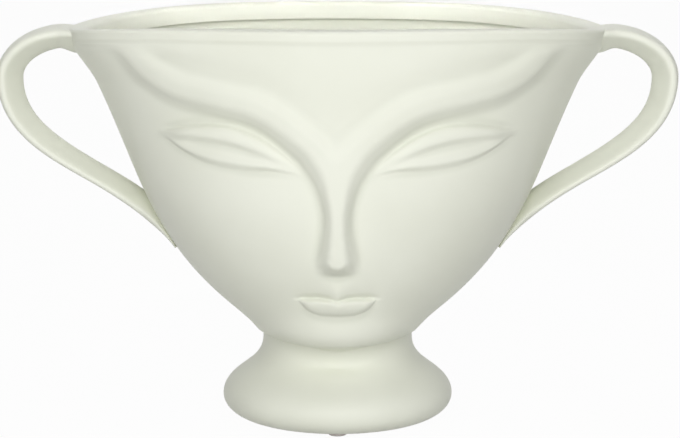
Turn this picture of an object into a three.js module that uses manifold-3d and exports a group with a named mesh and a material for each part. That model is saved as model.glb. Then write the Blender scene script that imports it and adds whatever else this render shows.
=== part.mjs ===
// A two-handled face flower pot in glazed stoneware. An oval bowl carries a stylised mask
// in relief on its front, stands on a flared hollow foot, and has a loop handle at each end.
// The bowl, the foot and the handles are separate castings that are stuck together with slip,
// and soft round bumpers are stuck under the foot.
// Millimetres, +Z up. The mask looks along -Y and the handles lie along X.
// The origin is on the ground, below the middle of the foot.
import * as THREE from "three";
import { mergeVertices } from "three/addons/utils/BufferGeometryUtils.js";
import Module from "manifold-3d";

// Bumpers under the foot
const bumperDiameter = 10;
const bumperHeight = 2.5;
const bumperRound = 0.6;

// Foot: heights are above its own underside
const footRadius = 61.9;
const footEdgeWidth = 15;
const footEdgeHeight = 10.7;
const footStandWidth = 12;
const footWall = 8;
const neckRadius = 40.1;
const neckLength = 5.8;
const neckFollow = 14;
const flareLowPull = 13.5;
const flareHighPull = 17;

// Bowl: heights are above the foot's underside
const seamHeight = 48.2;
const chinDip = 6.3;
const rimHalfWidth = 142.1;
const rimHalfDepth = 89.2;
const rimHeight = 215;
const rimEndDip = 6.2;
const wall = 7.5;
const insideEcho = 0.55;
const floorThickness = 11;
const lipHeight = 9.4;
const lipOverhang = 2.2;
const beadHeight = 5;
const beadEase = 1.5;
const beadProud = 0.8;
const rimRound = 2;
const rimCorner = 0.3;

// How full the bowl is: each pair is a pull on the profile curve at the foot and at the rim
const sidePull = { footOut: 69.9, footUp: 48.5, rimIn: 40.3, rimDown: 70.1 };
const frontPull = { footOut: 60, footUp: 36, rimIn: 0, rimDown: 65 };

// A swelling of the ends where the handles start, with its depths below the rim there
const webSwell = 3.2;
const webTop = { from: 0.8, to: 11.8 };
const webFoot = { from: 8.8, to: 28.8 };

// Handles: the middle of a handle starts below the rim, goes round a shoulder and sweeps down
// to the bowl's side
const handleReach = 180.5;
const handleRimDrop = 4.7;
const handleElbowDrop = 21.6;
const handleShoulder = 31.3;
const handleStartTurn = 118;
const handleElbowPull = 44.5;
const handleFoot = { reach: 85.4, height: 93.5, pullOut: 20.7, pullUp: 40 };
const handleDepth = 30;
const handleRimThickness = 11.2;
const handleShoulderThickness = 13.6;
const handleElbowThickness = 11.8;
const handleSweepThickness = 10.4;
const handleFootThickness = 10.2;
const handleEndThickness = 3;
const handleRimStep = 1.5;
const handleRimEase = { from: -2, to: 8 };

// A handle's thickness at shares of its way
const handleThickness = [
  [0, handleRimThickness],
  [0.26, handleShoulderThickness],
  [0.47, handleElbowThickness],
  [0.68, handleSweepThickness],
  [0.88, handleFootThickness],
  [1, handleEndThickness],
];

// Half of a handle's section from its outer edge to its inner one: each pair is a share of half
// its thickness and of half its depth
const handleSection = [
  [1, 0],
  [0.93, 0.55],
  [0.72, 0.92],
  [0.4, 1],
  [0.1, 0.93],
  [-0.35, 0.62],
  [-0.75, 0.32],
  [-0.94, 0.12],
  [-1, 0],
];

// Gap that the slip fills where two castings meet, and how far the handles' cutter passes the rim
const slipGap = 0.3;
const cutterRise = 12;

// Mask: x is from the centre line, heights are above the foot's underside
const noseTipHeight = 97.2;
const noseTipRound = 2;
const noseTipHalfWidth = 4;
const noseBaseHeight = 89.3;
const noseWingRise = 0.7;
const noseHalfWidth = 11;
const betweenBrows = { from: 128, to: 146 };
const centreSoftness = 4;
const hollowReach = 50;

const innerTaper = { from: 16, to: 38 };
const outerTaper = { from: 76.5, to: 95.5 };
const lidFilling = { from: 22, to: 48 };
const lidFullness = 4;
const lidInnerShare = 0.6;
const lidSquareness = 0.8;
const lidEdgeDrop = 5;
const eyeballFullness = 3.2;
const eyeballCrease = 0.45;
const eyeballLean = 0.55;

const mouthHalfWidth = 21.5;
const lipCorner = { from: 0.6, to: 1 };
const partingEnd = { from: 0.7, to: 1.15 };
const lowerLipFullness = 2.8;
const lowerLipSquareness = 0.5;
const upperLipDepth = 2;
const upperLipRise = 3.2;
const lipBowWidth = 6;
const lipBowShare = 0.25;
const partingDepth = 0.4;
const partingWidth = 1.2;
const dentFullness = 2.2;
const dentWidth = 8;
const dentRise = 3;

const chinFullness = 11.5;
const chinHalfWidth = 41;
const chinSquareness = 4;
const chinHeight = 50;
const chinRise = 13.5;
const jawTurn = 7;

// The mask fades out towards the ends, below the bead and at the seam
const endFade = { from: 6, to: 30 };
const topFade = { from: 7.5, to: 17 };
const seamFade = 3.5;

// The edge that runs up the side of the nose and out along the brow: at each point, how far
// the ridge stands proud, how deep the hollow beside it is, how wide the slope between them
// is, how soft the slope's foot is, how broad the ridge is and how deep the valley behind it is
const browLine = [
  { x: 2.5, z: 80, ridge: 8.5, hollow: 0, slope: 10.6, soft: 0.5, broad: 16, valley: 0 },
  { x: 2.5, z: 95, ridge: 8.5, hollow: 0, slope: 10.4, soft: 0.5, broad: 16, valley: 0 },
  { x: 1.4, z: 118.4, ridge: 6.2, hollow: 0.8, slope: 7.6, soft: 0.5, broad: 16, valley: 0 },
  { x: 2.4, z: 130.5, ridge: 4.6, hollow: 1.8, slope: 8, soft: 0.4, broad: 16, valley: 0 },
  { x: 4.6, z: 139.8, ridge: 3.6, hollow: 2.8, slope: 9.2, soft: 0.3, broad: 14, valley: 0 },
  { x: 8.8, z: 149, ridge: 2.8, hollow: 3.5, slope: 10.6, soft: 0.2, broad: 12, valley: 0.1 },
  { x: 15.5, z: 158.1, ridge: 2.2, hollow: 4.4, slope: 11.4, soft: 0.2, broad: 11, valley: 0.3 },
  { x: 32.2, z: 170.4, ridge: 1.6, hollow: 5.1, slope: 11.8, soft: 0.3, broad: 11, valley: 0.6 },
  { x: 44.9, z: 176.1, ridge: 1.4, hollow: 5.2, slope: 12, soft: 0.35, broad: 10.5, valley: 0.8 },
  { x: 66, z: 180.6, ridge: 1.3, hollow: 4.5, slope: 11.8, soft: 0.4, broad: 10, valley: 0.9 },
  { x: 81, z: 183.5, ridge: 1.3, hollow: 3.6, slope: 11.6, soft: 0.5, broad: 10.5, valley: 1 },
  { x: 93.5, z: 189.2, ridge: 1.3, hollow: 2.8, slope: 11.2, soft: 0.6, broad: 10.5, valley: 1 },
  { x: 100.5, z: 195.2, ridge: 1.2, hollow: 2.2, slope: 11, soft: 0.6, broad: 9.5, valley: 0.9 },
  { x: 106.5, z: 202.6, ridge: 1, hollow: 1.6, slope: 11, soft: 0.6, broad: 8, valley: 0.6 },
  { x: 111.5, z: 210, ridge: 0.3, hollow: 0.8, slope: 11, soft: 0.6, broad: 7, valley: 0 },
];
const nearness = 0.45;
const ridgeRound = 0.4;
const ridgeFall = { from: 0.3, to: 1.15 };
const valleyPlace = 1.25;
const valleyWidth = 0.5;

// Lines of the eye and the mouth, each as heights at distances from the centre line
const lidTopLine = [[8, 122], [13, 135.6], [23, 148.4], [37, 159.3], [54, 165.9], [70, 165.9], [94, 161.5]];
const lidEdgeLine = [[8, 124], [13, 135], [20, 144.5], [37, 153.8], [54, 159.2], [72, 161], [94, 160]];
const lowerLidLine = [[12, 141], [30.4, 143.8], [50.6, 143.6], [68.5, 146.6], [83.2, 153.9], [94, 163]];
const partingLine = [[0, 76.1], [4, 77.1], [9, 77.5], [15, 77.2], [22, 77.2], [27, 77.3]];
const lipFootLine = [[0, 67.9], [9, 68.5], [15, 71], [18, 74], [21, 77.2], [27, 78]];

// Facets
const bowlColumns = 96;
const wallRows = 44;
const innerRows = 12;
const footColumns = 48;
const edgeSteps = 6;
const flareSteps = 9;
const handleSteps = 40;
const bumperSides = 20;
const browSteps = 120;
const frontCrowding = 0.7;

const { smoothstep, lerp, clamp, degToRad } = THREE.MathUtils;
const wasm = await Module();
wasm.setup();

const glaze = new THREE.MeshStandardMaterial({ color: 0xe9ebde, roughness: 0.42, metalness: 0 });
const softRubber = new THREE.MeshStandardMaterial({ color: 0xd9cfc6, roughness: 0.5, metalness: 0 });

// A grid that goes round the upright axis. place(row, angle) gives each point, with the angle
// counted from the front. Rows run from the bottom, up the outside and down the inside.
function roundGrid(rowCount, columns, place, crowding = 0) {
  const profile = Array.from({ length: rowCount }, (_, row) => new THREE.Vector2(1, row));
  const geometry = new THREE.LatheGeometry(profile, columns);
  geometry.deleteAttribute("normal");
  geometry.deleteAttribute("uv");
  const position = geometry.getAttribute("position");
  for (let column = 0; column <= columns; column++) {
    const turn = ((column % columns) / columns) * 2 * Math.PI;
    const angle = turn - crowding * Math.sin(turn);
    for (let row = 0; row < rowCount; row++) {
      const point = place(row, angle);
      position.setXYZ(column * rowCount + row, point.x, point.y, point.z);
    }
  }
  return mergeVertices(geometry, 1e-4);
}

// Closed meshes as solids and back, for cutting
function solidFrom(geometry) {
  const vertProperties = new Float32Array(geometry.getAttribute("position").array);
  const triVerts = new Uint32Array(geometry.index.array);
  return new wasm.Manifold(new wasm.Mesh({ numProp: 3, vertProperties, triVerts }));
}

function geometryFrom(solid) {
  const { vertProperties, triVerts } = solid.getMesh();
  const geometry = new THREE.BufferGeometry();
  geometry.setAttribute("position", new THREE.BufferAttribute(vertProperties, 3));
  geometry.setIndex(new THREE.BufferAttribute(triVerts, 1));
  return geometry;
}

// Value of a line that is given as points, at a place along it
function lineValue(points, x) {
  const last = points.length - 1;
  const after = points.findIndex((point) => point[0] > x);
  const index = after < 0 ? last - 1 : Math.max(0, after - 1);
  const [x0, value0] = points[index];
  const [x1, value1] = points[index + 1];
  return lerp(value0, value1, clamp((x - x0) / (x1 - x0), 0, 1));
}

// Bowl profiles: half-width seen from the front, and half-depth seen from the side
function profileCurve(seam, rim, pull) {
  const nearFoot = new THREE.Vector2(seam.x + pull.footOut, seam.y + pull.footUp);
  const nearRim = new THREE.Vector2(rim.x - pull.rimIn, rim.y - pull.rimDown);
  return new THREE.CubicBezierCurve(seam, nearFoot, nearRim, rim);
}

const sideProfile = profileCurve(
  new THREE.Vector2(neckRadius, seamHeight),
  new THREE.Vector2(rimHalfWidth, rimHeight - rimEndDip),
  sidePull,
);
const frontProfile = profileCurve(
  new THREE.Vector2(neckRadius, seamHeight - chinDip),
  new THREE.Vector2(rimHalfDepth, rimHeight),
  frontPull,
);

// How far out a rising profile is at a share of its height, 0 at the seam and 1 at the rim
function profileReach(profile, share) {
  const height = lerp(profile.v0.y, profile.v3.y, share);
  let low = 0;
  let high = 1;
  for (let step = 0; step < 40; step++) {
    const middle = (low + high) / 2;
    if (profile.getPoint(middle).y < height) low = middle;
    else high = middle;
  }
  return profile.getPoint((low + high) / 2).x;
}

// Half-width of the bowl, with the swelling below the rim
function endReach(share) {
  const belowRim = lerp(sideProfile.v3.y - sideProfile.v0.y, 0, share);
  const top = smoothstep(belowRim, webTop.from, webTop.to);
  const foot = 1 - smoothstep(belowRim, webFoot.from, webFoot.to);
  return profileReach(sideProfile, share) + webSwell * top * foot;
}

// Height of the seam between bowl and foot, which dips under the chin
function seamAt(angle, radius = neckRadius) {
  const dip = chinDip * Math.max(Math.cos(angle), 0) ** 8;
  return seamHeight - (dip * radius) / neckRadius;
}

// The bowl's surface before the mask is raised on it, moved outwards by a distance
function bowlPoint(share, angle, outwards = 0) {
  const halfWidth = endReach(share) + outwards;
  const halfDepth = profileReach(frontProfile, share) + outwards;
  const rim = rimHeight - rimEndDip * Math.sin(angle) ** 4;
  const height = lerp(seamAt(angle), rim, share);
  return new THREE.Vector3(halfWidth * Math.sin(angle), -halfDepth * Math.cos(angle), height);
}

// The level direction that points straight out of the bowl there
function outwardAt(share, angle) {
  const halfWidth = endReach(share);
  const halfDepth = profileReach(frontProfile, share);
  return new THREE.Vector3(Math.sin(angle) / halfWidth, -Math.cos(angle) / halfDepth, 0).normalize();
}

// Brow line as close samples
const browCurve = new THREE.CatmullRomCurve3(browLine.map((p) => new THREE.Vector3(p.x, p.z, 0)));
const browKeys = ["ridge", "hollow", "slope", "soft", "broad", "valley"];
const browSamples = Array.from({ length: browSteps + 1 }, (_, i) => {
  const along = i / browSteps;
  const span = along * (browLine.length - 1);
  const index = Math.min(Math.floor(span), browLine.length - 2);
  const before = browLine[index];
  const after = browLine[index + 1];
  const sizes = browKeys.map((key) => [key, lerp(before[key], after[key], span - index)]);
  const place = browCurve.getPoint(along);
  const tangent = browCurve.getTangent(along);
  return { place, tangent, ...Object.fromEntries(sizes) };
});

// The side of the brow line that a point is on, its distance, and the sizes of the line near it
function besideBrow(x, z) {
  const distances = browSamples.map(({ place }) => Math.hypot(x - place.x, z - place.y));
  const nearest = Math.min(...distances);
  const { place, tangent } = browSamples[distances.indexOf(nearest)];
  const side = Math.sign(tangent.x * (z - place.y) - tangent.y * (x - place.x));
  const weights = distances.map((distance) => Math.exp(-nearness * (distance - nearest)));
  const total = weights.reduce((sum, weight) => sum + weight, 0);
  const mean = (key) => browSamples.reduce((sum, sample, i) => sum + weights[i] * sample[key], 0) / total;
  const sizes = browKeys.map((key) => [key, mean(key)]);
  return { signed: side * nearest, ...Object.fromEntries(sizes) };
}

// A straight rise from 0 to 1 with rounded ends
function roundedSlope(share, startRound, endRound) {
  const full = 1 - (startRound + endRound) / 2;
  if (share < startRound) return share ** 2 / (2 * startRound) / full;
  if (share > 1 - endRound) return 1 - (1 - share) ** 2 / (2 * endRound) / full;
  return (share - startRound / 2) / full;
}

// Height of the nose and brow ridge and of the hollow beside it
function browRelief(x, z) {
  const { signed, ridge, hollow, slope, soft, broad, valley } = besideBrow(x, z);
  const noseBase = noseBaseHeight + noseWingRise * Math.min(x / noseHalfWidth, 1);
  const noseTip = noseTipHeight + noseTipRound * Math.min(x / noseTipHalfWidth, 1) ** 2;
  const noseEnd = smoothstep(z, noseBase, noseTip);
  if (signed >= 0) {
    const fall = 1 - smoothstep(signed, broad * ridgeFall.from, broad * ridgeFall.to);
    const dent = Math.exp(-(((signed - broad * valleyPlace) / (broad * valleyWidth)) ** 2));
    return noseEnd * (ridge * fall - valley * dent);
  }
  if (signed > -slope) {
    const down = roundedSlope(-signed / slope, ridgeRound, soft);
    return noseEnd * lerp(ridge, -hollow, down);
  }
  return -noseEnd * hollow * (1 - smoothstep(-signed, slope, slope + hollowReach));
}

// Upper lid with its overhanging edge, and the eyeball
function eyeRelief(x, z) {
  const inner = smoothstep(x, innerTaper.from, innerTaper.to);
  const taper = inner * (1 - smoothstep(x, outerTaper.from, outerTaper.to));
  if (taper === 0) return 0;
  const lidTop = lineValue(lidTopLine, x);
  const lidEdge = lineValue(lidEdgeLine, x);
  const lowerLid = lineValue(lowerLidLine, x);
  const downLid = clamp((lidTop - z) / Math.max(lidTop - lidEdge, 1), 0, 1);
  const filling = lerp(lidInnerShare, 1, smoothstep(x, lidFilling.from, lidFilling.to));
  const lid = lidFullness * filling * Math.sin((downLid * Math.PI) / 2) ** lidSquareness;
  const upBall = clamp((z - lowerLid) / Math.max(lidEdge - lowerLid, 1), 0, 1);
  const ball = eyeballFullness * smoothstep(upBall, 0, eyeballCrease) * (1 - eyeballLean * upBall);
  return taper * lerp(ball, lid, smoothstep(z, lidEdge - lidEdgeDrop, lidEdge));
}

// Lips, with the upper one turning in to the parting, and the dent above them
function mouthRelief(x, z) {
  const share = x / mouthHalfWidth;
  const parting = lineValue(partingLine, x);
  const lipFoot = lineValue(lipFootLine, x);
  const corner = 1 - smoothstep(share, lipCorner.from, lipCorner.to);
  const end = 1 - smoothstep(share, partingEnd.from, partingEnd.to);
  const upLip = clamp((z - lipFoot) / Math.max(parting - lipFoot, 1), 0, 1);
  const lowerLip = lowerLipFullness * Math.sin(upLip * Math.PI) ** lowerLipSquareness * corner;
  const groove = -partingDepth * Math.exp(-(((z - parting) / partingWidth) ** 2)) * end;
  const turnedIn = -upperLipDepth * Math.exp(-Math.max(z - parting, 0) / upperLipRise);
  const upperLip = turnedIn * lerp(lipBowShare, 1, smoothstep(x, 0, lipBowWidth)) * end;
  const fromDent = Math.hypot(x, z - parting - dentRise) / dentWidth;
  const dent = dentFullness * Math.exp(-(fromDent ** 2));
  return lowerLip + groove + upperLip * smoothstep(z, parting - partingWidth, parting) + dent;
}

// The chin, full above the seam and turning in below
function chinRelief(x, z) {
  const above = Math.exp(-((Math.max(z - chinHeight, 0) / chinRise) ** 2));
  const below = smoothstep(z, chinHeight - jawTurn, chinHeight);
  return chinFullness * Math.exp(-((x / chinHalfWidth) ** chinSquareness)) * above * below;
}

// How far the mask stands out of the plain bowl
function maskRelief(point, angle) {
  const facing = smoothstep(-point.y, endFade.from, endFade.to);
  if (facing === 0) return 0;
  const x = Math.hypot(point.x, centreSoftness * smoothstep(point.z, betweenBrows.from, betweenBrows.to));
  const belowRim = smoothstep(rimHeight - point.z, topFade.from, topFade.to);
  const aboveSeam = smoothstep(point.z - seamAt(angle), 0, seamFade);
  const features = browRelief(x, point.z) + eyeRelief(x, point.z) + mouthRelief(x, point.z);
  return facing * belowRim * aboveSeam * (features + chinRelief(x, point.z));
}

// The bowl's rows: underside, wall with the mask, bead, rim, lip, inner wall and floor
const fullHeight = rimHeight - seamHeight;
const beadShare = 1 - (beadHeight + beadEase) / fullHeight;
const lipShare = 1 - lipHeight / fullHeight;
const floorShare = floorThickness / fullHeight;
const lipInside = wall + lipOverhang;

function beadRow(below, outwards) {
  return { share: 1 - below / fullHeight, outwards };
}

const undersideRow = { axis: true, rise: 0 };
const outerRows = Array.from({ length: wallRows + 1 }, (_, i) => ({
  share: (beadShare * i) / wallRows,
  outwards: 0,
  mask: 1,
}));
const rimRows = [
  beadRow(beadHeight, beadProud),
  beadRow(rimRound, beadProud),
  beadRow(rimRound * rimCorner, beadProud - rimRound * rimCorner),
  beadRow(0, beadProud - rimRound),
  beadRow(0, rimRound - lipInside),
  beadRow(rimRound, -lipInside),
  beadRow(lipHeight, -lipInside),
  beadRow(lipHeight, -wall),
];
const innerWallRows = Array.from({ length: innerRows }, (_, i) => ({
  share: lerp(lipShare, floorShare, (i + 1) / innerRows),
  outwards: -wall,
  mask: insideEcho,
}));
const floorRow = { axis: true, rise: floorThickness };
const bowlRows = [undersideRow, ...outerRows, ...rimRows, ...innerWallRows, floorRow];

function bowlRowPoint({ axis, rise, share, outwards, mask }, angle, gap = 0) {
  if (axis) return new THREE.Vector3(0, 0, seamHeight + rise - gap);
  const point = bowlPoint(share, angle, outwards);
  const relief = mask ? mask * maskRelief(point, angle) : 0;
  return point.addScaledVector(outwardAt(share, angle), relief + gap);
}

function faceBowl() {
  const place = (row, angle) => bowlRowPoint(bowlRows[row], angle);
  return new THREE.Mesh(roundGrid(bowlRows.length, bowlColumns, place, frontCrowding), glaze);
}

// The space that the bowl takes up, with the slip gap round it, carried on above the rim
function bowlSpace() {
  const rows = [undersideRow, ...outerRows, ...rimRows.slice(0, 2)];
  const place = (row, angle) => {
    if (row > rows.length) return new THREE.Vector3(0, 0, rimHeight + cutterRise);
    const point = bowlRowPoint(rows[Math.min(row, rows.length - 1)], angle, slipGap);
    if (row === rows.length) point.z += cutterRise;
    return point;
  };
  return solidFrom(roundGrid(rows.length + 2, bowlColumns, place, frontCrowding));
}

// Foot: a hollow flared ring whose neck follows the seam
function pedestalFoot() {
  const standOuter = footRadius - footEdgeWidth;
  const standInner = standOuter - footStandWidth;
  const neckInside = neckRadius - footWall;
  const flareEnd = seamHeight - neckLength;
  const flare = new THREE.CubicBezierCurve(
    new THREE.Vector2(footRadius, footEdgeHeight),
    new THREE.Vector2(footRadius, footEdgeHeight + flareLowPull),
    new THREE.Vector2(neckRadius, flareEnd - flareHighPull),
    new THREE.Vector2(neckRadius, flareEnd),
  );
  const edge = new THREE.EllipseCurve(standOuter, footEdgeHeight, footEdgeWidth, footEdgeHeight);
  edge.aStartAngle = -Math.PI / 2;
  edge.aEndAngle = 0;
  const outline = [
    new THREE.Vector2(standInner, 0),
    ...edge.getPoints(edgeSteps),
    ...flare.getPoints(flareSteps).slice(1),
    new THREE.Vector2(neckRadius, seamHeight),
    new THREE.Vector2(neckInside, seamHeight),
    new THREE.Vector2(neckInside, flareEnd - chinDip),
    new THREE.Vector2(standInner, footEdgeHeight),
    new THREE.Vector2(standInner, 0),
  ];
  const place = (row, angle) => {
    const { x: radius, y } = outline[row];
    const dip = seamAt(angle, Math.min(radius, neckRadius)) - seamHeight;
    const follow = smoothstep(y, flareEnd - neckFollow, flareEnd);
    const gap = y === seamHeight ? slipGap : 0;
    return new THREE.Vector3(radius * Math.sin(angle), -radius * Math.cos(angle), y + follow * dip - gap);
  };
  return new THREE.Mesh(roundGrid(outline.length, footColumns, place), glaze);
}

// The middle of a handle, from inside the rim round the shoulder and down to the bowl's side
function handlePath() {
  const outermost = handleReach - handleShoulderThickness / 2;
  const centre = outermost - handleShoulder;
  const elbow = rimHeight - rimEndDip - handleRimDrop - handleElbowDrop;
  const { reach, height, pullOut, pullUp } = handleFoot;
  const path = new THREE.CurvePath();
  const shoulder = new THREE.EllipseCurve(centre, elbow, handleShoulder, handleElbowDrop);
  shoulder.aStartAngle = degToRad(handleStartTurn);
  shoulder.aEndAngle = 0;
  shoulder.aClockwise = true;
  path.add(shoulder);
  path.add(
    new THREE.CubicBezierCurve(
      new THREE.Vector2(outermost, elbow),
      new THREE.Vector2(outermost, elbow - handleElbowPull),
      new THREE.Vector2(reach + pullOut, height + pullUp),
      new THREE.Vector2(reach, height),
    ),
  );
  return path;
}

// Handle: a rod with a rounded section, kept level with the rim beside it and cut off where it
// meets the bowl
function loopHandle(sideSign, space) {
  const path = handlePath();
  const halfSides = handleSection.length - 1;
  const stations = Array.from({ length: handleSteps + 1 }, (_, i) => {
    const share = i / handleSteps;
    const half = lineValue(handleThickness, share) / 2;
    return { middle: path.getPointAt(share), tangent: path.getTangentAt(share), half };
  });
  const place = (row, turn) => {
    const { middle, tangent, half } = stations[clamp(row - 1, 0, handleSteps)];
    if (row === 0 || row === handleSteps + 2) return new THREE.Vector3(sideSign * middle.x, 0, middle.y);
    const folded = Math.min(turn, 2 * Math.PI - turn);
    const [thick, deep] = handleSection[Math.round((folded / Math.PI) * halfSides)];
    const outward = half * thick;
    const sideways = (Math.sign(Math.PI - turn) * deep * handleDepth) / 2;
    const x = middle.x - tangent.y * outward;
    const beyondRim = smoothstep(x - rimHalfWidth, handleRimEase.from, handleRimEase.to);
    const highest = rimHeight - rimEndDip - slipGap + handleRimStep * beyondRim;
    const z = Math.min(middle.y + tangent.x * outward, highest);
    return new THREE.Vector3(sideSign * x, -sideSign * sideways, z);
  };
  const rod = solidFrom(roundGrid(handleSteps + 3, 2 * halfSides, place));
  return new THREE.Mesh(geometryFrom(rod.subtract(space)), glaze);
}

// Bumper: a round pad with its lower edge taken off
function bumper() {
  const radius = bumperDiameter / 2;
  const top = bumperHeight - slipGap;
  const outline = [
    [0, 0],
    [radius - bumperRound, 0],
    [radius, bumperRound],
    [radius, top],
    [0, top],
  ].map(([x, y]) => new THREE.Vector2(x, y));
  const geometry = new THREE.LatheGeometry(outline, bumperSides);
  geometry.rotateX(Math.PI / 2);
  return new THREE.Mesh(geometry, softRubber);
}

// Assembly
const pot = new THREE.Group();
const castings = new THREE.Group();
castings.position.z = bumperHeight;
pot.add(castings);

function addNamed(parent, mesh, name) {
  mesh.name = name;
  parent.add(mesh);
  return mesh;
}

const space = bowlSpace();
addNamed(castings, faceBowl(), "face_bowl");
addNamed(castings, pedestalFoot(), "pedestal_foot");
addNamed(castings, loopHandle(-1, space), "left_handle");
addNamed(castings, loopHandle(1, space), "right_handle");
const bumperCircle = footRadius - footEdgeWidth - footStandWidth / 2;
const bumperPlaces = ["front", "right", "back", "left"];
bumperPlaces.forEach((place, i) => {
  const angle = (i / bumperPlaces.length) * 2 * Math.PI;
  const pad = addNamed(pot, bumper(), `bumper_${place}`);
  pad.position.set(bumperCircle * Math.sin(angle), -bumperCircle * Math.cos(angle), 0);
});

export default pot;
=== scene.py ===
"""A two-handled face flower pot in ivory stoneware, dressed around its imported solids.

Shapes are worked out in millimetres, with heights above the foot's underside, as on the pot's
drawing. They become metres in the frame where a piece is placed.
"""
import math

import bmesh
import bpy
import numpy as np
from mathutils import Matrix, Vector


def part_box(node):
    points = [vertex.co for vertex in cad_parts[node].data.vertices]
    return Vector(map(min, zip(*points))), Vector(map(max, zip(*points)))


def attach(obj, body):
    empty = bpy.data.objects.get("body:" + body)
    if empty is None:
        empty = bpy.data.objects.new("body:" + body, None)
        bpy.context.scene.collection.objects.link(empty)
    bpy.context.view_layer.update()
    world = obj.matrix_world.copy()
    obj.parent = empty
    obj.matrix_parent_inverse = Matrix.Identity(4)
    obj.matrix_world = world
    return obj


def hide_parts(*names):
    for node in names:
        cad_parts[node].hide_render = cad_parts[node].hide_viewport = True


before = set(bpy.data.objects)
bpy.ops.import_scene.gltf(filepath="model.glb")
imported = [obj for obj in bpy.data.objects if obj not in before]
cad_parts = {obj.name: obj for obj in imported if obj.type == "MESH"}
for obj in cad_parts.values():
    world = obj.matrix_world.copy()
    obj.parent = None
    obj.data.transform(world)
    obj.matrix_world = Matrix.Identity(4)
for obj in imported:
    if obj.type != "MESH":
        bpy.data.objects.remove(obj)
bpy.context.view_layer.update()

MM = 0.001
BODY = "root"
merge_distance = 0.001 * MM

# Sizes read from the solids
bowl_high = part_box("face_bowl")[1] / MM
foot_low, foot_high = (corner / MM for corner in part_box("pedestal_foot"))
handle_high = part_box("right_handle")[1] / MM
lift = foot_low.z

# Rim, bead and lip
bead_proud = 0.8
bead_height = 5.0
bead_round = 2.2
bead_span = (2.6, -0.6)
bead_ease = (2.4, -0.4)
bead_steps = 9
lip_height = 9.4
lip_overhang = 2.2
lip_edge_round = 0.5
lip_edge_steps = 4
wall = 7.5
floor_thickness = 11.0
floor_round = 12.0
floor_round_steps = 8

# The undercut, each point as its distance inside the wall and its depth below the lip
undercut_points = [(0.7, 0.1), (0.2, 0.5), (0, 1.4)]

# Bowl
rim_half_width = 142.1
rim_half_depth = bowl_high.y - bead_proud
rim_height = bowl_high.z - lift
rim_end_dip = 6.2
rim_dip_sharpness = 4
web_swell = 3.2
web_rise = (180, 200)
web_fall = (197, 208)
seam_height = 48.2
chin_dip = 6.3
chin_dip_sharpness = 8
neck_radius = 40.1
end_seam_pull = (69.9, 48.5)
end_rim_pull = (40.3, 70.1)
front_seam_pull = (60.0, 36.0)
front_rim_pull = (0.0, 65.0)
profile_steps = 600
bowl_columns = 392
wall_rows = 200
inner_rows = 12
front_crowding = 0.6
inside_echo = 0.55

# Foot
foot_radius = foot_high.x
foot_edge_height = 10.7
foot_edge_width = 15.0
foot_edge_start = -84.0
foot_edge_steps = 14
foot_stand_width = 12.0
stand_chamfer = 1.0
foot_neck_length = 5.8
neck_follow = 14.0
neck_overlap = 1.2
foot_wall = 8.0
hollow_top_step = (1.0, 6.0)
flare_low_pull = 13.5
flare_high_pull = 17.0
flare_steps = 40
joint_round = 3.0
joint_bend = 49.0
joint_steps = 8
foot_columns = 120
bare_edge_height = 1.0

# Handles, with their thickness at shares of their way
handle_thickest = 13.6
handle_thickness = [
    (0, 11.2),
    (0.26, handle_thickest),
    (0.47, 11.8),
    (0.68, 10.4),
    (0.88, 10.2),
    (1, 3),
]
handle_depth = 30.0
handle_start_turn = 118.0
handle_reach = handle_high.x
handle_top_height = 204.1
handle_elbow_height = 182.5
handle_shoulder = 31.3
handle_elbow_pull = 44.5
handle_foot_reach = 85.4
handle_foot_height = 93.5
handle_foot_pull = (20.7, 40.0)
handle_root_depth = 3.4
handle_fillet = 3.0
handle_fillet_fall = (-1, 3 * handle_fillet)
handle_rim_joint = (140, 170)
handle_rim_step = 1.5
handle_rim_gap = 0.3
handle_rim_ease = (rim_half_width - 2, rim_half_width + 8)
shoulder_steps = 60
sweep_steps = 100
handle_span_steps = 3
handle_rows = 180

# Half of a handle's section from its outer edge to its inner one, as shares of half its thickness
# and of half its depth
handle_section = [
    (1, 0),
    (0.93, 0.55),
    (0.72, 0.92),
    (0.4, 1),
    (0.1, 0.93),
    (-0.35, 0.62),
    (-0.75, 0.32),
    (-0.94, 0.12),
    (-1, 0),
]

# Glaze pooled in the hollows, which also paints shade into the creases
pool_and_shade_smoothing = 12
pool_and_shade_depth = 0.25
pool_and_shade_softening = 8
pool_and_shade_tint = 0.35

# Bumpers
bumper_round = 0.9
bumper_round_steps = 6
bumper_columns = 48


def ease(low, high, value):
    """0 up to low, 1 from high on, and a smooth rise between them."""
    share = np.clip((value - low) / (high - low), 0, 1)
    return share * share * (3 - 2 * share)


def blend(start, end, share):
    return start + (end - start) * share


def smooth_line(points, count=160):
    """Points along a smooth curve through the given ones, each column a value on the way."""
    knots = np.array(points, float)
    knots = np.vstack([2 * knots[0] - knots[1], knots, 2 * knots[-1] - knots[-2]])
    spans = len(knots) - 3
    along = np.linspace(0, spans, count)
    span = np.minimum(along.astype(int), spans - 1)
    t = (along - span)[:, None]
    before, start, end, after = (knots[span + step] for step in range(4))
    bend = (2 * before - 5 * start + 4 * end - after) * t**2 + (3 * start - before - 3 * end + after) * t**3
    return start + ((end - before) * t + bend) / 2


def height_along(points, x):
    """Height of a smooth line at distances from the centre line."""
    line = smooth_line(points)
    return np.interp(x, line[:, 0], line[:, 1])


def pulled_curve(start, start_pull, end_pull, end, count):
    """Points of a curve between two points that is drawn towards two others on the way."""
    t = np.linspace(0, 1, count)[:, None]
    points = (start, start_pull, end_pull, end)
    start, start_pull, end_pull, end = (np.array(point, float) for point in points)
    near_start = start * (1 - t) ** 3 + 3 * start_pull * t * (1 - t) ** 2
    return near_start + 3 * end_pull * t**2 * (1 - t) + end * t**3


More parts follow.
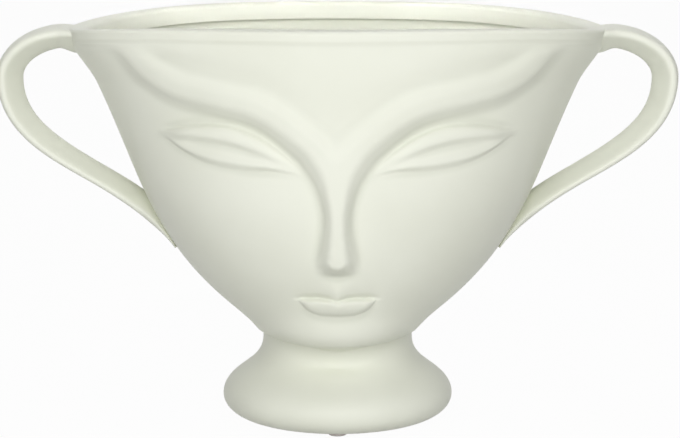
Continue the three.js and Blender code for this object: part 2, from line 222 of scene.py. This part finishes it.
class Profile:
    """A side of the bowl as a curve from the seam to the rim, pulled out at both ends."""

    def __init__(self, seam, seam_pull, rim_pull, rim):
        seam, rim = np.array(seam), np.array(rim)
        self.curve = pulled_curve(seam, seam + seam_pull, rim - rim_pull, rim, profile_steps)
        self.low, self.high = seam[1], rim[1]

    def swell(self, amount, rise, fall):
        """Adds a swelling that rises between two heights and falls away between two others."""
        height = self.curve[:, 1]
        self.curve[:, 0] += amount * ease(*rise, height) * (1 - ease(*fall, height))

    def height(self, share):
        return blend(self.low, self.high, share)

    def reach(self, share):
        return np.interp(self.height(share), self.curve[:, 1], self.curve[:, 0])

    def reach_at(self, height):
        return np.interp(height, self.curve[:, 1], self.curve[:, 0])


end_profile = Profile(
    (neck_radius, seam_height),
    end_seam_pull,
    end_rim_pull,
    (rim_half_width, rim_height - rim_end_dip),
)
end_profile.swell(web_swell, web_rise, web_fall)
front_profile = Profile(
    (neck_radius, seam_height - chin_dip),
    front_seam_pull,
    front_rim_pull,
    (rim_half_depth, rim_height),
)


def seam_at(angle):
    """Height of the seam between bowl and foot, which dips under the chin."""
    return seam_height - chin_dip * np.maximum(np.cos(angle), 0) ** chin_dip_sharpness


def rim_at(angle):
    """Height of the rim, which dips towards the ends."""
    return rim_height - rim_end_dip * np.sin(angle) ** rim_dip_sharpness


def bowl_surface(share, angle, outwards):
    """Points of the plain bowl, and the level directions out of it. Angle 0 is the front."""
    half_width = end_profile.reach(share) + outwards
    half_depth = front_profile.reach(share) + outwards
    height = blend(seam_at(angle), rim_at(angle), share)
    places = np.stack([half_width * np.sin(angle), -half_depth * np.cos(angle), height], axis=1)
    out = np.stack([np.sin(angle) * half_depth, -np.cos(angle) * half_width, np.zeros_like(angle)], axis=1)
    return places, out / np.maximum(np.linalg.norm(out, axis=1, keepdims=True), 1e-9)


# Mask

# The edge up the side of the nose and out along the brow. Each point has its distance from the
# centre line, its height, how proud the ridge is, how deep the hollow beside it is, how wide the
# slope between them is, how soft the foot of the slope is, how broad the ridge is, and how deep
# the valley behind the ridge is.
brow_points = [
    (2.5, 80, 8.5, 0.0, 10.6, 0.5, 16, 0.0),
    (2.5, 95, 8.5, 0.0, 10.4, 0.5, 16, 0.0),
    (1.4, 118.4, 6.2, 0.8, 7.6, 0.5, 16, 0.0),
    (2.4, 130.5, 4.6, 1.8, 8.0, 0.4, 16, 0.0),
    (4.6, 139.8, 3.6, 2.8, 9.2, 0.3, 14, 0.0),
    (8.8, 149, 2.8, 3.5, 10.6, 0.2, 12, 0.1),
    (15.5, 158.1, 2.2, 4.4, 11.4, 0.2, 11, 0.3),
    (32.2, 170.4, 1.6, 5.1, 11.8, 0.3, 11, 0.6),
    (44.9, 176.1, 1.4, 5.2, 12.0, 0.35, 10.5, 0.8),
    (66, 180.6, 1.3, 4.5, 11.8, 0.4, 10, 0.9),
    (81, 183.5, 1.3, 3.6, 11.6, 0.5, 10.5, 1.0),
    (93.5, 189.2, 1.3, 2.8, 11.2, 0.6, 10.5, 1.0),
    (100.5, 195.2, 1.2, 2.2, 11.0, 0.6, 9.5, 0.9),
    (106.5, 202.6, 1.0, 1.6, 11.0, 0.6, 8, 0.6),
    (111.5, 210, 0.3, 0.8, 11.0, 0.6, 7, 0.0),
]
brow_steps = 140
brow_nearness = 0.45
ridge_round = 0.4
ridge_fall = (0.3, 1.15)
valley_place = 1.25
valley_width = 0.5
hollow_reach = 50.0

nose_tip_height = 97.2
nose_tip_round = 2.0
nose_tip_half_width = 4.0
nose_base_height = 89.3
nose_wing_rise = 0.7
nose_half_width = 11.0
between_brows = (128, 146)
centre_softness = 4.0

# Lines of the eye and the mouth, each as heights at distances from the centre line
lid_top_line = [
    (8, 122),
    (13, 135.6),
    (22.9, 148.3),
    (37, 159.3),
    (53.6, 165.8),
    (70.5, 165.9),
    (94, 161.5),
]
lid_edge_line = [(8, 124), (13, 135), (20, 144.5), (37, 153.8), (53.7, 159.1), (72.5, 161), (94, 160)]
lower_lid_line = [(12, 141), (30.4, 143.8), (50.6, 143.6), (68.5, 146.6), (83.2, 153.9), (94, 163)]
inner_taper = (16, 38)
outer_taper = (76.5, 95.5)
lid_filling = (22, 48)
lid_fullness = 4.0
lid_inner_share = 0.6
lid_squareness = 0.45
lid_edge_drop = 4.0
eyeball_fullness = 3.2
eyeball_crease = 0.3
eyeball_lean = 0.55

parting_line = [(0, 76.1), (4, 77.1), (9, 77.5), (15, 77.2), (22, 77.2), (27, 77.3)]
lip_foot_line = [(0, 67.9), (9, 68.5), (15, 71), (18, 74), (21, 77.2), (27, 78)]
mouth_half_width = 21.5
lip_corner = (0.6, 1)
parting_end = (0.7, 1.15)
lower_lip_fullness = 2.8
lower_lip_squareness = 0.5
upper_lip_depth = 2.0
upper_lip_rise = 3.2
lip_bow_width = 6.0
lip_bow_share = 0.25
parting_depth = 0.4
parting_width = 1.2
dent_fullness = 2.2
dent_width = 8.0
dent_rise = 3.0
least_opening = 1

chin_fullness = 11.5
chin_half_width = 41.0
chin_squareness = 4
chin_height = 50.0
chin_rise = 13.5
jaw_turn = 7.0

# The mask fades out towards the ends, below the bead and at the seam
end_fade = (6, 30)
top_fade = (bead_height + 2.5, bead_height + 12)
seam_fade = 0.02


def rounded_slope(share, start_round, end_round):
    """A straight rise from 0 to 1 with rounded ends."""
    full = 1 - (start_round + end_round) / 2
    start = share**2 / (2 * start_round)
    end = full - (1 - share) ** 2 / (2 * end_round)
    straight = share - start_round / 2
    return np.where(share < start_round, start, np.where(share > 1 - end_round, end, straight)) / full


def brow_relief(x, z):
    """Nose, brow ridge and the hollow of the eye."""
    line = smooth_line(brow_points, brow_steps)
    along = np.gradient(line[:, :2], axis=0)
    away = np.hypot(x[:, None] - line[:, 0], z[:, None] - line[:, 1])
    nearest = away.argmin(axis=1)
    distance = away.min(axis=1)
    weight = np.exp(-brow_nearness * (away - distance[:, None]))
    weight /= weight.sum(axis=1, keepdims=True)
    ridge, hollow, slope, foot_softness, broad, valley = (weight @ line[:, 2:]).T
    turn = along[nearest, 0] * (z - line[nearest, 1]) - along[nearest, 1] * (x - line[nearest, 0])
    distance = np.where(turn >= 0, distance, -distance)
    behind = ridge * (1 - ease(broad * ridge_fall[0], broad * ridge_fall[1], distance))
    behind -= valley * np.exp(-(((distance - broad * valley_place) / (broad * valley_width)) ** 2))
    down = rounded_slope(np.clip(-distance / slope, 0, 1), ridge_round, foot_softness)
    drop = blend(ridge, -hollow, down)
    hollow_end = -hollow * (1 - ease(slope, slope + hollow_reach, -distance))
    relief = np.where(distance >= 0, behind, np.where(distance > -slope, drop, hollow_end))
    nose_base = nose_base_height + nose_wing_rise * np.minimum(x / nose_half_width, 1)
    nose_tip = nose_tip_height + nose_tip_round * np.minimum(x / nose_tip_half_width, 1) ** 2
    return relief * ease(nose_base, nose_tip, z)


def eye_relief(x, z):
    """Upper lid with its overhanging edge, and the eyeball, which meets the cheek in a crease."""
    lid_top = height_along(lid_top_line, x)
    lid_edge = height_along(lid_edge_line, x)
    lower_lid = height_along(lower_lid_line, x)
    taper = ease(*inner_taper, x) * (1 - ease(*outer_taper, x))
    down_lid = np.clip((lid_top - z) / np.maximum(lid_top - lid_edge, least_opening), 0, 1)
    filling = blend(lid_inner_share, 1, ease(*lid_filling, x))
    lid = lid_fullness * filling * np.sin(down_lid * math.pi / 2) ** lid_squareness
    up_ball = np.clip((z - lower_lid) / np.maximum(lid_edge - lower_lid, least_opening), 0, 1)
    ball = eyeball_fullness * ease(0, eyeball_crease, up_ball) * (1 - eyeball_lean * up_ball)
    return taper * blend(ball, lid, ease(lid_edge - lid_edge_drop, lid_edge, z))


def mouth_relief(x, z):
    """Lips, with the upper one turning in to the parting, and the dent above them."""
    share = x / mouth_half_width
    parting = height_along(parting_line, x)
    lip_foot = height_along(lip_foot_line, x)
    corner = 1 - ease(*lip_corner, share)
    end = 1 - ease(*parting_end, share)
    up_lip = np.clip((z - lip_foot) / np.maximum(parting - lip_foot, least_opening), 0, 1)
    lower_lip = lower_lip_fullness * np.sin(up_lip * math.pi) ** lower_lip_squareness * corner
    groove = -parting_depth * np.exp(-(((z - parting) / parting_width) ** 2)) * end
    turned_in = -upper_lip_depth * np.exp(-np.maximum(z - parting, 0) / upper_lip_rise)
    upper_lip = turned_in * blend(lip_bow_share, 1, ease(0, lip_bow_width, x)) * end
    upper_lip *= ease(parting - parting_width, parting, z)
    dent = dent_fullness * np.exp(-((x / dent_width) ** 2) - ((z - parting - dent_rise) / dent_width) ** 2)
    return lower_lip + groove + upper_lip + dent


def chin_relief(x, z):
    """The chin, full above the seam and turning in below."""
    above = np.exp(-((np.maximum(z - chin_height, 0) / chin_rise) ** 2))
    below = ease(chin_height - jaw_turn, chin_height, z)
    return chin_fullness * np.exp(-((x / chin_half_width) ** chin_squareness)) * above * below


def front_fade(places, share):
    """Where the mask is: on the front, below the bead and above the seam."""
    facing = ease(*end_fade, -places[:, 1])
    below_bead = ease(*top_fade, rim_height - places[:, 2])
    return facing * below_bead * ease(0, seam_fade, share)


def mask_relief(places, share):
    z = places[:, 2]
    x = np.hypot(places[:, 0], centre_softness * ease(*between_brows, z))
    features = brow_relief(x, z) + eye_relief(x, z) + mouth_relief(x, z) + chin_relief(x, z)
    return features * front_fade(places, share)


# Building

def spun_rows(row_count, columns, ring=False):
    """A skin of rows that go round Z, with each vertex's row as its height.

    Returns the bmesh with the row and the turn of each vertex. A ring's last row joins its first.
    """
    skin = bmesh.new()
    profile = [skin.verts.new((0, -1, row)) for row in range(row_count)]
    for low, high in zip(profile, profile[1:] + profile[:1] if ring else profile[1:]):
        skin.edges.new((low, high))
    bmesh.ops.spin(
        skin,
        geom=skin.verts[:] + skin.edges[:],
        cent=(0, 0, 0),
        axis=(0, 0, 1),
        angle=2 * math.pi,
        steps=columns,
        use_merge=True,
    )
    places = np.array([vert.co for vert in skin.verts])
    return skin, np.rint(places[:, 2]).astype(int), np.arctan2(places[:, 0], -places[:, 1])


def glaze_pools_and_shade(mesh):
    """Stores how hollow the surface is at each vertex, as a share from 0 to 1, for pooled glaze and painted
    shade in the hollows.
    """
    count = len(mesh.vertices)
    places = np.empty(count * 3)
    mesh.vertices.foreach_get("co", places)
    places = places.reshape(-1, 3)
    normals = np.empty(count * 3)
    mesh.vertex_normals.foreach_get("vector", normals)
    ends = np.empty(len(mesh.edges) * 2, int)
    mesh.edges.foreach_get("vertices", ends)
    first, second = ends.reshape(-1, 2).T
    neighbours = np.bincount(ends, minlength=count)[:, None]

    def smoothed(values, times):
        for _ in range(times):
            total = np.zeros_like(values)
            np.add.at(total, first, values[second])
            np.add.at(total, second, values[first])
            values = total / neighbours
        return values

    sunk = (smoothed(places, pool_and_shade_smoothing) - places) * normals.reshape(-1, 3)
    hollow = smoothed(sunk.sum(axis=1, keepdims=True), pool_and_shade_softening)[:, 0] / MM
    # The share darkens the colour in the hollows: pooled glaze and painted shade in the creases.
    attribute = mesh.attributes.new("glaze_pool_and_shade", "FLOAT", "POINT")
    attribute.data.foreach_set("value", ease(0, pool_and_shade_depth, hollow).astype(np.float32))


def finish_piece(skin, places, name, node, material):
    """Puts the skin's vertices in their places and hangs the piece on the frame for its node."""
    for vert, place in zip(skin.verts, places):
        vert.co = (Vector(place) + Vector((0, 0, lift))) * MM
    bmesh.ops.remove_doubles(skin, verts=skin.verts, dist=merge_distance)
    bmesh.ops.recalc_face_normals(skin, faces=skin.faces)
    for face in skin.faces:
        face.smooth = True
    mesh = bpy.data.meshes.new(name)
    skin.to_mesh(mesh)
    skin.free()
    glaze_pools_and_shade(mesh)
    mesh.materials.append(material)
    piece = bpy.data.objects.new(name, mesh)
    bpy.context.scene.collection.objects.link(piece)
    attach(piece, BODY)
    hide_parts(node)


def arc(centre, radius, start, end, count):
    """Points of an arc in a section, as pairs, with angles in degrees."""
    angles = np.radians(np.linspace(start, end, count))
    return [(centre[0] + radius * math.cos(a), centre[1] + radius * math.sin(a)) for a in angles]


def rim_section():
    """Bead, rounded top, lip and undercut.

    Each point has its distance out of the wall and its depth below the rim.
    """
    lip_inside = -wall - lip_overhang
    bead_places = np.linspace(*bead_span, bead_steps)
    bead_rise = [(bead_proud * ease(*bead_ease, d), bead_height + d) for d in bead_places]
    outer_round = arc((bead_proud - bead_round, 0), bead_round, 0, 90, bead_steps)
    inner_round = arc((lip_inside + bead_round, 0), bead_round, 90, 180, bead_steps)
    top = [(x, bead_round - y) for x, y in outer_round + inner_round]
    edge_centre = (lip_inside + lip_edge_round, lip_height - lip_edge_round)
    edge = arc(edge_centre, lip_edge_round, 180, 90, lip_edge_steps)
    undercut = [(-wall - inside, lip_height + below) for inside, below in undercut_points]
    return bead_rise + top + edge + undercut


def face_bowl(material):
    """The bowl: underside, masked wall, rim, lip, inner wall and floor, as rows of one closed skin."""
    full_height = rim_height - seam_height
    rim = rim_section()
    bead_start = 1 - rim[0][1] / full_height
    lip_end = 1 - rim[-1][1] / full_height
    floor = floor_thickness / full_height
    floor_bend = floor + floor_round / full_height
    outer = [(share, 0, 1) for share in np.linspace(0, bead_start, wall_rows, endpoint=False)]
    rim_rows = [(1 - depth / full_height, out, 0) for out, depth in rim]
    inner = [(share, -wall, inside_echo) for share in np.linspace(lip_end, floor_bend, inner_rows)[1:]]
    bend = [
        (floor + floor_round / full_height * (1 - math.sin(a)), -wall - floor_round * (1 - math.cos(a)), 0)
        for a in np.radians(np.linspace(0, 90, floor_round_steps)[1:])
    ]
    rows = np.array([(0, 0, 0), *outer, *rim_rows, *inner, *bend, (floor, 0, 0)])
    skin, row, turn = spun_rows(len(rows), bowl_columns)
    angle = turn - front_crowding * np.sin(turn)
    share, outwards, masked = rows[row].T
    places, out = bowl_surface(share, angle, outwards)
    places += out * (masked * mask_relief(places, share))[:, None]
    places[row == 0] = (0, 0, seam_height)
    places[row == len(rows) - 1] = (0, 0, seam_height + floor_thickness)
    finish_piece(skin, places, "face_bowl_glazed", "face_bowl", material)


def pedestal_foot(material):
    """The hollow flared foot. Its top runs a little way into the bowl, where the slip hides the joint."""
    stand_outer = foot_radius - foot_edge_width
    stand_inner = stand_outer - foot_stand_width
    flare_end = seam_height - foot_neck_length
    flare = pulled_curve(
        (foot_radius, foot_edge_height),
        (foot_radius, foot_edge_height + flare_low_pull),
        (neck_radius, flare_end - flare_high_pull),
        (neck_radius, flare_end),
        flare_steps,
    )
    joint_start = seam_height - joint_round * math.tan(math.radians(joint_bend / 2))
    joint = arc((neck_radius + joint_round, joint_start), joint_round, 180, 180 - joint_bend, joint_steps)
    outline = [(stand_inner + stand_chamfer, 0), (stand_outer, 0)]
    edge = arc((0, 0), 1, foot_edge_start, 0, foot_edge_steps)
    outline += [(stand_outer + foot_edge_width * x, foot_edge_height * (1 + y)) for x, y in edge]
    outline += list(flare[1:])
    neck_row = len(outline)
    outline += joint
    neck_inside = neck_radius - foot_wall
    outline += [
        (neck_inside, seam_height + neck_overlap),
        (neck_inside, flare_end),
        (neck_inside + hollow_top_step[0], flare_end - hollow_top_step[1]),
        (stand_inner, foot_edge_height),
        (stand_inner, stand_chamfer),
    ]
    outline = np.array(outline)
    skin, row, turn = spun_rows(len(outline), foot_columns, ring=True)
    radius, height = outline[row].T
    neck = ease(flare_end - neck_follow, flare_end, height)
    follow = np.where(row < neck_row, neck, row <= neck_row + len(joint))
    height = height + follow * (seam_at(turn) - seam_height)
    places = np.stack([radius * np.sin(turn), -radius * np.cos(turn), height], axis=1)
    finish_piece(skin, places, "pedestal_foot_glazed", "pedestal_foot", material)


def handle_line():
    """The middle of a handle from inside the rim, round the shoulder and down to the bowl's side."""
    outermost = handle_reach - handle_thickest / 2
    rise = handle_top_height - handle_elbow_height
    turn = np.radians(np.linspace(handle_start_turn, 0, shoulder_steps))[:, None]
    centre = np.array((outermost - handle_shoulder, handle_elbow_height))
    shoulder = centre + np.hstack([handle_shoulder * np.cos(turn), rise * np.sin(turn)])
    foot = np.array((handle_foot_reach, handle_foot_height))
    below_elbow = (outermost, handle_elbow_height - handle_elbow_pull)
    sweep = pulled_curve(shoulder[-1], below_elbow, foot + handle_foot_pull, foot, sweep_steps)
    line = np.vstack([shoulder, sweep[1:]])
    length = np.cumsum(np.linalg.norm(np.diff(line, axis=0, prepend=line[:1]), axis=1))
    stations = np.linspace(0, length[-1], handle_rows)
    return np.stack([np.interp(stations, length, line[:, axis]) for axis in (0, 1)], axis=1)


def bowl_end(y, z):
    """How far the bowl's end reaches at a height and a distance from the handles' plane."""
    depth_share = np.clip(y / front_profile.reach_at(z), -1, 1)
    return end_profile.reach_at(z) * np.sqrt(1 - depth_share**2)


def half_section():
    """Half of a handle's section as a smooth curve that crosses the handles' plane squarely."""
    (x_first, y_first), (x_last, y_last) = handle_section[1], handle_section[-2]
    knots = [(x_first, -y_first), *handle_section, (x_last, -y_last)]
    curve = smooth_line(knots, (len(knots) - 1) * handle_span_steps + 1)
    return curve[handle_span_steps:-handle_span_steps]


def loop_handle(side, node, material):
    """A rod from the rim, down and in to the bowl's end, spread where it meets the bowl."""
    line = handle_line()
    along = np.gradient(line, axis=0)
    along /= np.linalg.norm(along, axis=1, keepdims=True)
    section = half_section()
    half_columns = len(section) - 1
    skin, row, turn = spun_rows(handle_rows + 2, 2 * half_columns)
    station = np.clip(row - 1, 0, handle_rows - 1)
    inside = (row > 0) & (row <= handle_rows)
    section_place = np.rint(abs(turn) / math.pi * half_columns).astype(int)
    outward, sideways = (inside * part for part in section[section_place].T)
    sideways *= np.sign(turn)
    thickness = height_along(handle_thickness, station / (handle_rows - 1))
    in_plane = outward * thickness / 2
    deep = sideways * handle_depth / 2
    x = line[station, 0] - along[station, 1] * in_plane
    z = line[station, 1] + along[station, 0] * in_plane
    spread = handle_fillet * (1 - ease(*handle_fillet_fall, x - bowl_end(deep, z)))
    under_rim = ease(*handle_rim_joint, z) * np.minimum(along[station, 0] * outward, 0)
    z += under_rim * spread
    deep += sideways * spread
    rim_end = rim_height - rim_end_dip
    highest = rim_end - handle_rim_gap + handle_rim_step * ease(*handle_rim_ease, x)
    z = np.minimum(z, highest)
    x = np.maximum(x, bowl_end(deep, z) - handle_root_depth)
    places = np.stack([side * x, deep, z], axis=1)
    finish_piece(skin, places, f"{node}_glazed", node, material)


def bumper(place_name, material):
    """A soft round pad with a rounded lower edge, pressed a little into its place under the foot."""
    node = f"bumper_{place_name}"
    low, high = (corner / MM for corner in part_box(node))
    centre = (low + high) / 2
    radius, height = (high.x - low.x) / 2, lift - low.z
    lower_edge = arc((radius - bumper_round, bumper_round), bumper_round, -90, 0, bumper_round_steps)
    outline = np.array([(0, 0), *lower_edge, (radius, height), (0, height)])
    skin, row, turn = spun_rows(len(outline), bumper_columns)
    reach, up = outline[row].T
    places = np.stack([centre.x + reach * np.sin(turn), centre.y - reach * np.cos(turn), up - lift], axis=1)
    finish_piece(skin, places, f"{node}_soft", node, material)


# Finishes

class Value:
    """A shader socket that takes part in Python arithmetic, which adds Math nodes."""

    def __init__(self, finish, socket):
        self.finish, self.socket = finish, socket

    def _math(self, operation, first, second):
        return self.finish.node("ShaderNodeMath", {"operation": operation}, {0: first, 1: second})["Value"]

    def __add__(self, other):
        return self._math("ADD", self, other)

    def __radd__(self, other):
        return self._math("ADD", other, self)

    def __sub__(self, other):
        return self._math("SUBTRACT", self, other)

    def __rsub__(self, other):
        return self._math("SUBTRACT", other, self)

    def __mul__(self, other):
        return self._math("MULTIPLY", self, other)

    def __rmul__(self, other):
        return self._math("MULTIPLY", other, self)


class Finish:
    """A material or world under way: node() adds a node, sets it up and links it."""

    def __init__(self, owner):
        self.owner = owner
        owner.use_nodes = True
        self.tree = owner.node_tree
        self.tree.nodes.clear()

    def node(self, kind, settings=None, inputs=None):
        made = self.tree.nodes.new(kind)
        for key, setting in (settings or {}).items():
            setattr(made, key, setting)
        for key, value in (inputs or {}).items():
            if isinstance(value, Value):
                self.tree.links.new(value.socket, made.inputs[key])
            else:
                made.inputs[key].default_value = value
        return Outputs(self, made)

    def tint(self, share, first, second):
        """A colour between two others."""
        mixed = self.node("ShaderNodeMix", {"data_type": "RGBA"}, {0: share, 6: first, 7: second})
        return mixed[2]


class Outputs:
    """A node's outputs by name or number, as values."""

    def __init__(self, finish, made):
        self.finish, self.made = finish, made

    def __getitem__(self, key):
        return Value(self.finish, self.made.outputs[key])


def ramp(finish, value, low, high):
    """0 below low and 1 above high, smooth between."""
    limits = {"Value": value, "From Min": low, "From Max": high}
    return finish.node("ShaderNodeMapRange", {"interpolation_type": "SMOOTHSTEP"}, limits)["Result"]


def noise(finish, position, scale, detail):
    inputs = {"Vector": position, "Scale": scale, "Detail": detail}
    return finish.node("ShaderNodeTexNoise", None, inputs)["Fac"]


glaze_thick = (0.81, 0.825, 0.72, 1)
glaze_thin = (0.845, 0.86, 0.76, 1)
# Darker colour in the hollows: pooled glaze and painted shade
pooled_glaze_and_shade = (0.62, 0.64, 0.54, 1)
glaze_roughness = 0.46
pinhole_spacing = 25 * MM
pinhole_edge = (0.008, 0.022)
pinhole_choice = (0.93, 0.935)
pinhole_strength = 0.6
pinhole_clay = (0.42, 0.37, 0.30, 1)
bare_clay = (0.62, 0.52, 0.40, 1)
bare_ragged = 0.8 * MM
bare_softness = 0.3 * MM
plastic_clear = (0.74, 0.68, 0.65, 1)
plastic_dusty = (0.82, 0.78, 0.75, 1)


def ivory_glaze():
    """Satin ivory glaze over buff stoneware, pooled and painted with shade in the hollows, and wiped off
    the foot's lower edge.
    """
    finish = Finish(bpy.data.materials.new("ivory_glaze"))
    position = finish.node("ShaderNodeTexCoord")["Object"]
    cloud = noise(finish, position, 14.0, 3.0)
    ripple = noise(finish, position, 70.0, 2.0)
    grain = noise(finish, position, 900.0, 2.0)
    body = finish.tint(ramp(finish, cloud, 0.3, 0.7), glaze_thick, glaze_thin)
    # Painted shade and pooled glaze: the hollows are darkened by this share
    pool_and_shade = finish.node("ShaderNodeAttribute", {"attribute_name": "glaze_pool_and_shade"})["Fac"]
    body = finish.tint(pool_and_shade * pool_and_shade_tint, body, pooled_glaze_and_shade)
    cells = finish.node("ShaderNodeTexVoronoi", None, {"Vector": position, "Scale": 1 / pinhole_spacing})
    chosen = finish.node("ShaderNodeSeparateColor", None, {"Color": cells["Color"]})["Red"]
    pinhole = ramp(finish, chosen, *pinhole_choice) * (1 - ramp(finish, cells["Distance"], *pinhole_edge))
    body = finish.tint(pinhole * pinhole_strength, body, pinhole_clay)
    height = finish.node("ShaderNodeSeparateXYZ", None, {"Vector": position})["Z"]
    bare_top = (lift + bare_edge_height) * MM
    ragged = height + (ripple - 0.5) * bare_ragged
    bare = 1 - ramp(finish, ragged, bare_top - bare_softness, bare_top + bare_softness)
    colour = finish.tint(bare, body, bare_clay)
    bump = finish.node(
        "ShaderNodeBump",
        None,
        {"Strength": 0.12, "Distance": 0.4 * MM, "Height": ripple * 0.7 + grain * 0.3},
    )["Normal"]
    shader = finish.node(
        "ShaderNodeBsdfPrincipled",
        None,
        {
            "Base Color": colour,
            "Roughness": glaze_roughness + (cloud - 0.5) * 0.12 + bare * 0.4,
            "Specular IOR Level": 0.25,
            "Normal": bump,
        },
    )["BSDF"]
    finish.node("ShaderNodeOutputMaterial", None, {"Surface": shader})
    return finish.owner


def soft_bumper():
    """Milky soft plastic with a dusty bloom."""
    finish = Finish(bpy.data.materials.new("soft_bumper"))
    position = finish.node("ShaderNodeTexCoord")["Object"]
    dust = noise(finish, position, 320.0, 4.0)
    colour = finish.tint(ramp(finish, dust, 0.35, 0.7), plastic_clear, plastic_dusty)
    shader = finish.node(
        "ShaderNodeBsdfPrincipled",
        None,
        {"Base Color": colour, "Roughness": 0.3 + dust * 0.25, "Transmission Weight": 0.25, "IOR": 1.45},
    )["BSDF"]
    finish.node("ShaderNodeOutputMaterial", None, {"Surface": shader})
    return finish.owner


# Studio

camera_distance = 1250.0
camera_height = 328.0
camera_side = 1.3
camera_pitch = 10.09
focal_pixels = 2367.0
photo_width = 680.0
floor_radius = 8.0
floor_sides = 96
paper_grey = (0.7, 0.7, 0.69, 1)
pure_white = (1, 1, 1, 1)
shadow_share = 0.03
ambient_level = 0.18
pot_middle = (0, 0, 0.11)


def place_camera():
    data = bpy.data.cameras.new("camera")
    data.sensor_width = 36.0
    data.lens = focal_pixels / photo_width * data.sensor_width
    data.clip_end = 50
    camera = bpy.data.objects.new("camera", data)
    camera.location = Vector((camera_side, -camera_distance, camera_height + lift)) * MM
    camera.rotation_euler = (math.radians(90 - camera_pitch), 0, 0)
    bpy.context.scene.collection.objects.link(camera)
    bpy.context.scene.camera = camera


def seen_directly(finish):
    """1 for what the camera sees itself, in a reflection or through the soft plastic, otherwise 0."""
    path = finish.node("ShaderNodeLightPath")
    return path["Is Camera Ray"] + path["Is Glossy Ray"] + path["Is Transmission Ray"]


def pale_floor():
    """A white floor for the camera that still takes the pot's shadow."""
    finish = Finish(bpy.data.materials.new("pale_floor"))
    seen = seen_directly(finish)
    paper = finish.node("ShaderNodeBsdfDiffuse", None, {"Color": paper_grey})["BSDF"]
    white = finish.node("ShaderNodeEmission", None, {"Color": pure_white, "Strength": 1.0})["Emission"]
    layers = {0: seen * (1 - shadow_share), 1: paper, 2: white}
    mixed = finish.node("ShaderNodeMixShader", None, layers)["Shader"]
    finish.node("ShaderNodeOutputMaterial", None, {"Surface": mixed})
    disc = bmesh.new()
    bmesh.ops.create_circle(disc, cap_ends=True, segments=floor_sides, radius=floor_radius)
    mesh = bpy.data.meshes.new("floor")
    disc.to_mesh(mesh)
    disc.free()
    mesh.materials.append(finish.owner)
    floor = bpy.data.objects.new("floor", mesh)
    bpy.context.scene.collection.objects.link(floor)


def soft_lamp(name, place, width, height, power, aim=pot_middle, spread=180):
    """A soft box that faces the middle of the pot or another place."""
    data = bpy.data.lights.new(name, "AREA")
    data.shape = "RECTANGLE"
    data.size, data.size_y, data.energy = width, height, power
    data.spread = math.radians(spread)
    lamp = bpy.data.objects.new(name, data)
    lamp.location = place
    lamp.visible_camera = False
    facing = Vector(aim) - Vector(place)
    lamp.rotation_euler = facing.to_track_quat("-Z", "Y").to_euler()
    bpy.context.scene.collection.objects.link(lamp)


def studio_world():
    """White round the pot, which gives it only an even ambient light."""
    finish = Finish(bpy.data.worlds.new("studio"))
    level = ambient_level + seen_directly(finish) * (1 - ambient_level)
    light = {"Color": pure_white, "Strength": level}
    white = finish.node("ShaderNodeBackground", None, light)["Background"]
    finish.node("ShaderNodeOutputWorld", None, {"Surface": white})
    bpy.context.scene.world = finish.owner


bpy.context.scene.view_settings.view_transform = "Standard"
place_camera()
pale_floor()
studio_world()
soft_lamp("key", (0, -1.45, 0.58), 2.2, 0.8, 19.8)
soft_lamp("top", (0, -0.1, 1.1), 0.6, 0.6, 1.2)
soft_lamp("back", (0, 1.2, 1.1), 2.4, 1.2, 5)
soft_lamp("mouth", (0, -0.55, 0.75), 0.26, 0.08, 0.042, aim=(0, 0.08, 0.2), spread=12)

glaze = ivory_glaze()
soft = soft_bumper()
face_bowl(glaze)
pedestal_foot(glaze)
loop_handle(-1, "left_handle", glaze)
loop_handle(1, "right_handle", glaze)
for place_name in ("front", "right", "back", "left"):
    bumper(place_name, soft)
